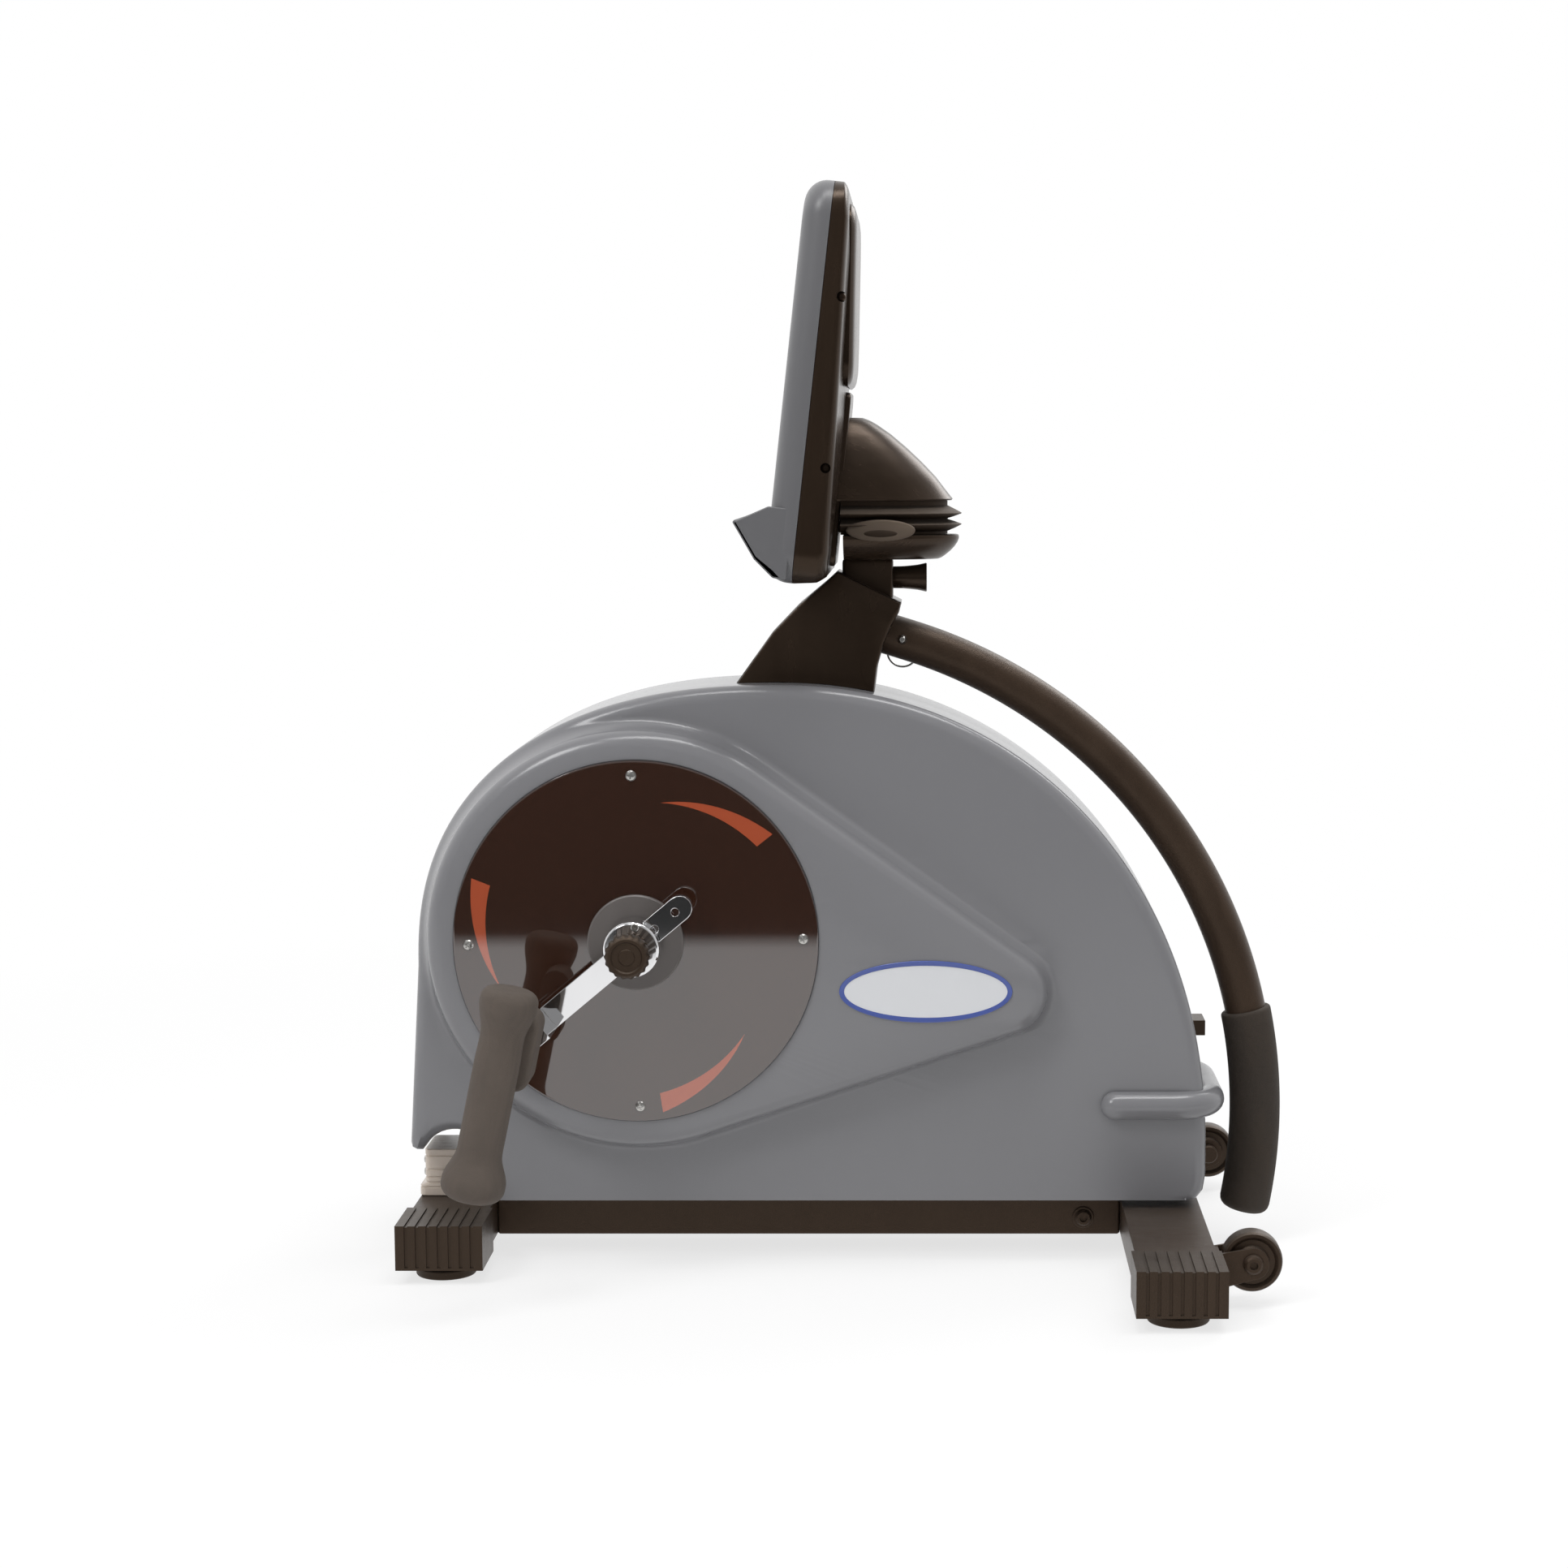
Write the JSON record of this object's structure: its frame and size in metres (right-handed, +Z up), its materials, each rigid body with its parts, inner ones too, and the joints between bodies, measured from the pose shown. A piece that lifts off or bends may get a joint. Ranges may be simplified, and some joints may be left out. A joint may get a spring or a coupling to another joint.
{
  "type": "arm ergometer",
  "caption": "Arm-cycling machine: a rounded casing on a low frame, a chrome crank with a swivelling foam handle on each side, a tilting console above and a curved support arm behind.",
  "frame": {"origin": "centre of the footprint's bounding box, on the floor under the feet", "axes": "+Z up; the user sits at the -X end, so +X points away from the user; +Y is the far side"},
  "size_m": [0.6806, 0.48, 0.8239],
  "materials": {
    "casing_plastic": "satin moulded blue-grey",
    "black_plastic": "fine-grained black",
    "gloss_black": "satin black",
    "black_steel": "powder coated black",
    "disc_plastic": "clear gloss over dark brown",
    "chrome": "polished",
    "steel": "zinc plated",
    "foam": "matt closed-cell foam",
    "riser": "satin",
    "lens": "smoked gloss",
    "belt_rubber": "ribbed",
    "foot_rubber": "matt"
  },
  "bodies": {
    "frame": {"base_tube": "black_steel", "front_stabilizer": "black_steel", "rear_stabilizer": "black_steel", "front_cap_near": "black_plastic", "front_cap_far": "black_plastic", "rear_cap_near": "black_plastic", "rear_cap_far": "black_plastic", "wheel_bracket_near": "black_steel", "wheel_bracket_far": "black_steel", "wheel_bolt_near": "steel", "wheel_bolt_far": "steel", "front_riser": "riser", "mast_post": "black_steel", "mast_cover": "gloss_black", "casing_near": "casing_plastic", "casing_far": "casing_plastic", "cover_disc_near": "disc_plastic", "cover_disc_far": "disc_plastic", "power_inlet": "black_plastic", "crank_bearing": "steel", "drive_belt": "belt_rubber", "flywheel_bracket": "black_steel", "brake_motor": "black_plastic", "bellows": "belt_rubber", "bellows_cup": "gloss_black", "support_arm": "black_steel", "arm_grip": "foam", "tilt_pin": "steel"},
    "crank": {"crank_shaft": "steel", "drive_pulley": "black_plastic", "crank_hub_near": "chrome", "crank_hub_far": "chrome"},
    "flywheel": {"flywheel": "steel", "flywheel_axle": "steel"},
    "brake": {"brake_bracket": "steel"},
    "console": {"console_front": "casing_plastic", "console_rear": "gloss_black", "console_lens": "lens", "tilt_bracket": "black_steel", "tilt_hood": "gloss_black"},
    "tilt_knob": {"tilt_knob": "gloss_black"},
    "lock_pin": {"lock_pin": "steel"},
    "pin_ring": {"pin_ring": "steel"},
    "key_1": {"console_key_1": "foam"},
    "key_2": {"console_key_2": "foam"},
    "key_3": {"console_key_3": "foam"},
    "arm_near": {"crank_arm_near": "chrome"},
    "clamp_knob_near": {"clamp_knob_near": "black_plastic"},
    "handle_near": {"handle_carrier_near": "foam", "grip_near": "foam"},
    "arm_far": {"crank_arm_far": "chrome"},
    "clamp_knob_far": {"clamp_knob_far": "black_plastic"},
    "handle_far": {"handle_carrier_far": "foam", "grip_far": "foam"},
    "wheel_near": {"wheel_near": "black_plastic"},
    "front_foot_near": {"front_foot_near": "foot_rubber"},
    "rear_foot_near": {"rear_foot_near": "foot_rubber"},
    "wheel_far": {"wheel_far": "black_plastic"},
    "front_foot_far": {"front_foot_far": "foot_rubber"},
    "rear_foot_far": {"rear_foot_far": "foot_rubber"}
  },
  "joints": [
    {"name": "crank_spin", "type": "hinge", "parent": "frame", "child": "crank", "pos_m": [-0.1593, 0, 0.257], "axis": [0, 1, 0], "continuous": true},
    {"name": "flywheel_spin", "type": "hinge", "parent": "frame", "child": "flywheel", "pos_m": [0.1287, 0, 0.219], "axis": [0, 1, 0], "continuous": true},
    {"name": "brake_swing", "type": "hinge", "parent": "frame", "child": "brake", "pos_m": [0.00907, 0, 0.27479], "axis": [0, -1, 0], "range_deg": [0, 12]},
    {"name": "arm_slide_near", "type": "slide", "parent": "crank", "child": "arm_near", "axis": [-0.766, 0, -0.6428], "range_m": [-0.03, 0.02]},
    {"name": "clamp_knob_turn_near", "type": "hinge", "parent": "crank", "child": "clamp_knob_near", "pos_m": [-0.1593, -0.1265, 0.257], "axis": [0, -1, 0], "range_deg": [-180, 180]},
    {"name": "handle_swivel_near", "type": "hinge", "parent": "arm_near", "child": "handle_near", "pos_m": [-0.23361, -0.205, 0.19465], "axis": [0, 1, 0], "continuous": true},
    {"name": "arm_slide_far", "type": "slide", "parent": "crank", "child": "arm_far", "axis": [0.766, 0, 0.6428], "range_m": [-0.03, 0.02]},
    {"name": "clamp_knob_turn_far", "type": "hinge", "parent": "crank", "child": "clamp_knob_far", "pos_m": [-0.1593, 0.1265, 0.257], "axis": [0, 1, 0], "range_deg": [-180, 180]},
    {"name": "handle_swivel_far", "type": "hinge", "parent": "arm_far", "child": "handle_far", "pos_m": [-0.08499, 0.205, 0.31935], "axis": [0, 1, 0], "continuous": true},
    {"name": "console_tilt", "type": "hinge", "parent": "frame", "child": "console", "pos_m": [0.01269, 0, 0.572], "axis": [0, 1, 0], "range_deg": [0, 15], "deforming": ["bellows"]},
    {"name": "key_press_1", "type": "slide", "parent": "console", "child": "key_1", "axis": [0.9937, 0, -0.1122], "range_m": [0, 0.001], "stiffness_N_per_m": 400, "springref_m": -0.0005},
    {"name": "key_press_2", "type": "slide", "parent": "console", "child": "key_2", "axis": [0.9937, 0, -0.1122], "range_m": [0, 0.001], "stiffness_N_per_m": 400, "springref_m": -0.0005},
    {"name": "key_press_3", "type": "slide", "parent": "console", "child": "key_3", "axis": [0.9937, 0, -0.1122], "range_m": [0, 0.001], "stiffness_N_per_m": 400, "springref_m": -0.0005},
    {"name": "tilt_knob_turn", "type": "hinge", "parent": "frame", "child": "tilt_knob", "pos_m": [0.02969, 0, 0.5285], "axis": [1, 0, 0], "range_deg": [-180, 180]},
    {"name": "lock_pin_pull", "type": "slide", "parent": "frame", "child": "lock_pin", "axis": [0, 1, 0], "range_m": [0, 0.045]},
    {"name": "pin_ring_swing", "type": "hinge", "parent": "lock_pin", "child": "pin_ring", "pos_m": [0.04168, 0.0248, 0.48125], "axis": [1, 0, 0], "range_deg": [-8, 90]},
    {"name": "wheel_spin_near", "type": "hinge", "parent": "frame", "child": "wheel_near", "pos_m": [0.2998, -0.167, 0.0337], "axis": [0, 1, 0], "continuous": true},
    {"name": "front_foot_near_turn", "type": "hinge", "parent": "frame", "child": "front_foot_near", "pos_m": [-0.3073, -0.086, 0.007], "axis": [0, 0, 1], "range_deg": [-180, 180]},
    {"name": "rear_foot_near_turn", "type": "hinge", "parent": "frame", "child": "rear_foot_near", "pos_m": [0.2427, -0.206, 0.007], "axis": [0, 0, 1], "range_deg": [-180, 180]},
    {"name": "wheel_spin_far", "type": "hinge", "parent": "frame", "child": "wheel_far", "pos_m": [0.2998, 0.167, 0.0337], "axis": [0, 1, 0], "continuous": true},
    {"name": "front_foot_far_turn", "type": "hinge", "parent": "frame", "child": "front_foot_far", "pos_m": [-0.3073, 0.086, 0.007], "axis": [0, 0, 1], "range_deg": [-180, 180]},
    {"name": "rear_foot_far_turn", "type": "hinge", "parent": "frame", "child": "rear_foot_far", "pos_m": [0.2427, 0.206, 0.007], "axis": [0, 0, 1], "range_deg": [-180, 180]}
  ],
  "couplings": [
    {"joint": "flywheel_spin", "follows": "crank_spin", "ratio": 7.6471}
  ]
}
